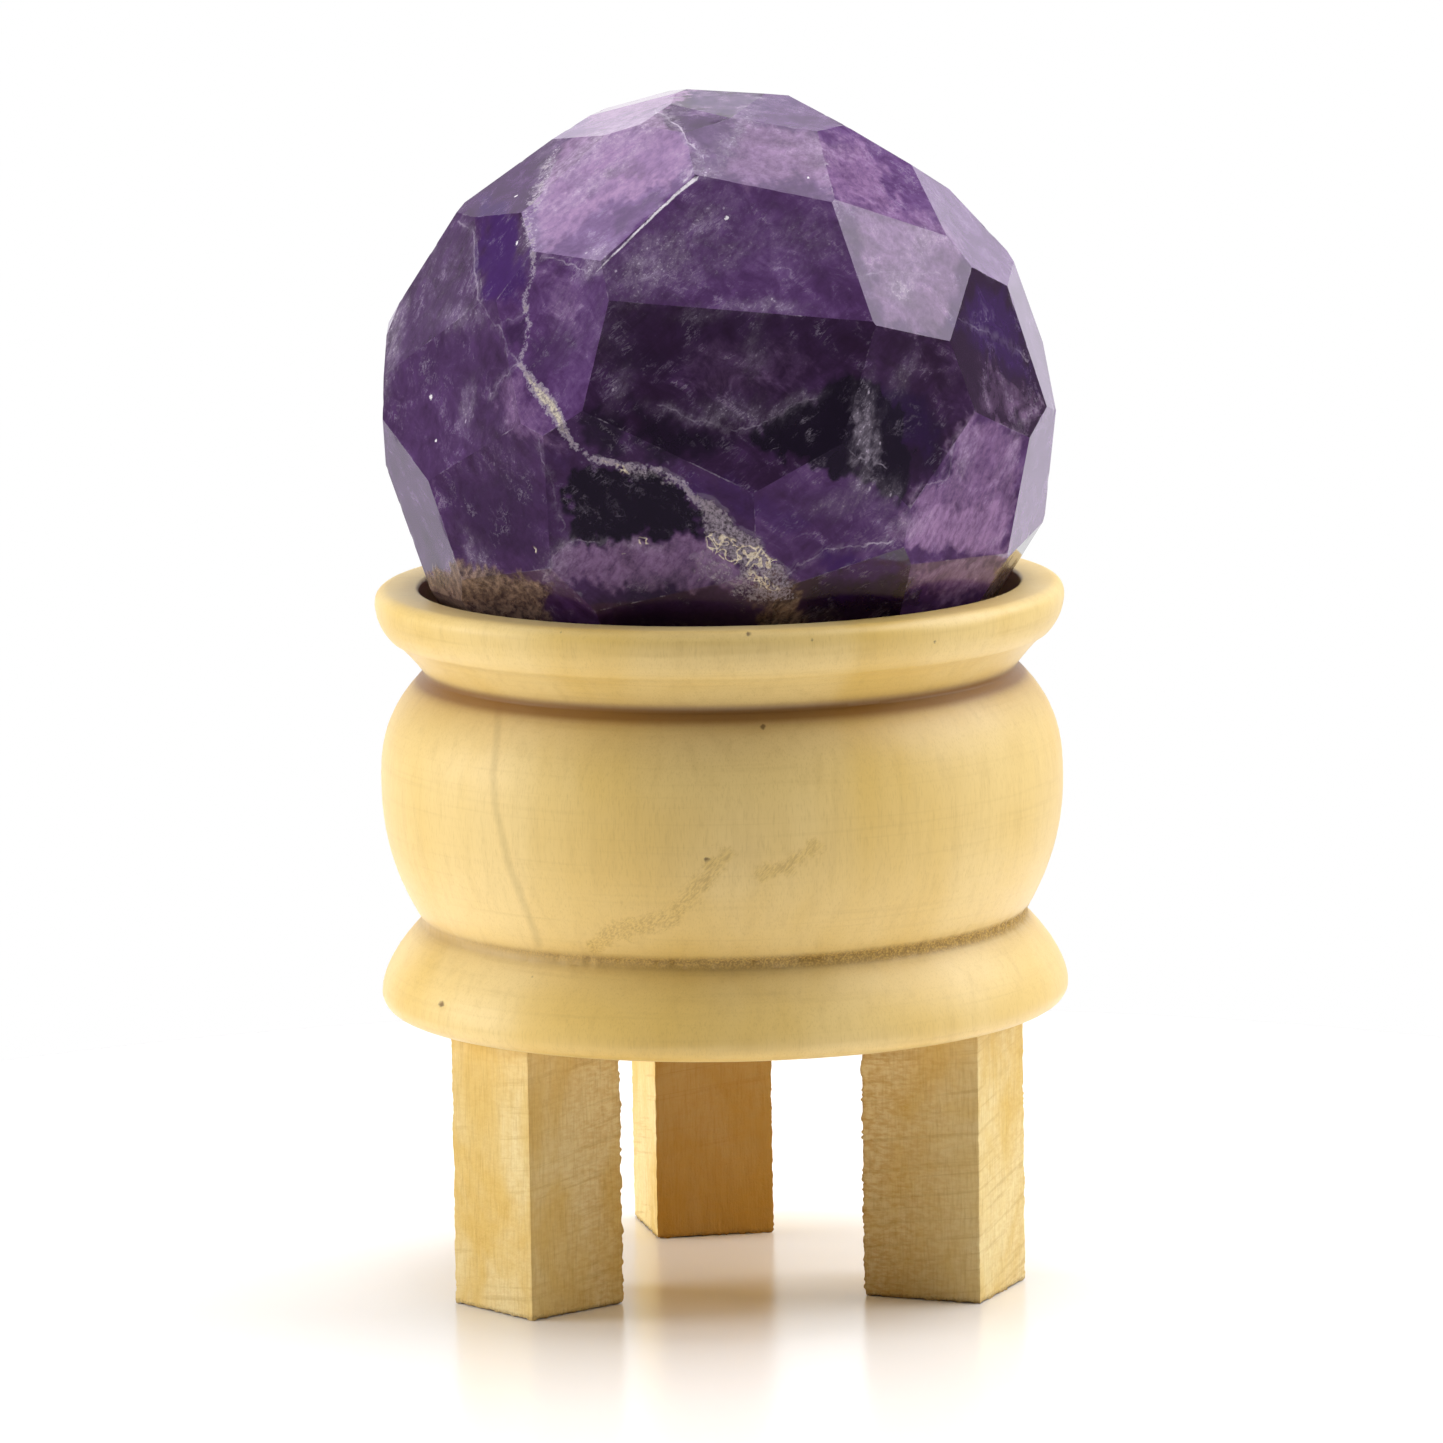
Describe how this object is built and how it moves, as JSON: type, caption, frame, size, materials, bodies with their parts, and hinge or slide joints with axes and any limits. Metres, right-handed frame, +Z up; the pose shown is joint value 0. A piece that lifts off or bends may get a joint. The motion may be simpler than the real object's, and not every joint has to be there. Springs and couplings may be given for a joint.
{
  "type": "decorative sphere",
  "caption": "Hand-faceted amethyst ball resting in a turned wooden stand with short square sawn legs.",
  "frame": {"origin": "middle of the footprint, on the stand's upright axis, on the surface that the legs stand on", "axes": "+Z up along the stand's axis; the side seen in the picture faces -Y"},
  "size_m": [0.0672, 0.0672, 0.1164],
  "materials": {
    "amethyst": "polished flats",
    "turned_wood": "satin",
    "sawn_wood": "sawn, unfinished"
  },
  "bodies": {
    "root": {"faceted_ball": "amethyst", "turned_stand": "turned_wood", "leg_front_left": "sawn_wood", "leg_front_right": "sawn_wood", "leg_back": "sawn_wood"}
  },
  "joints": []
}
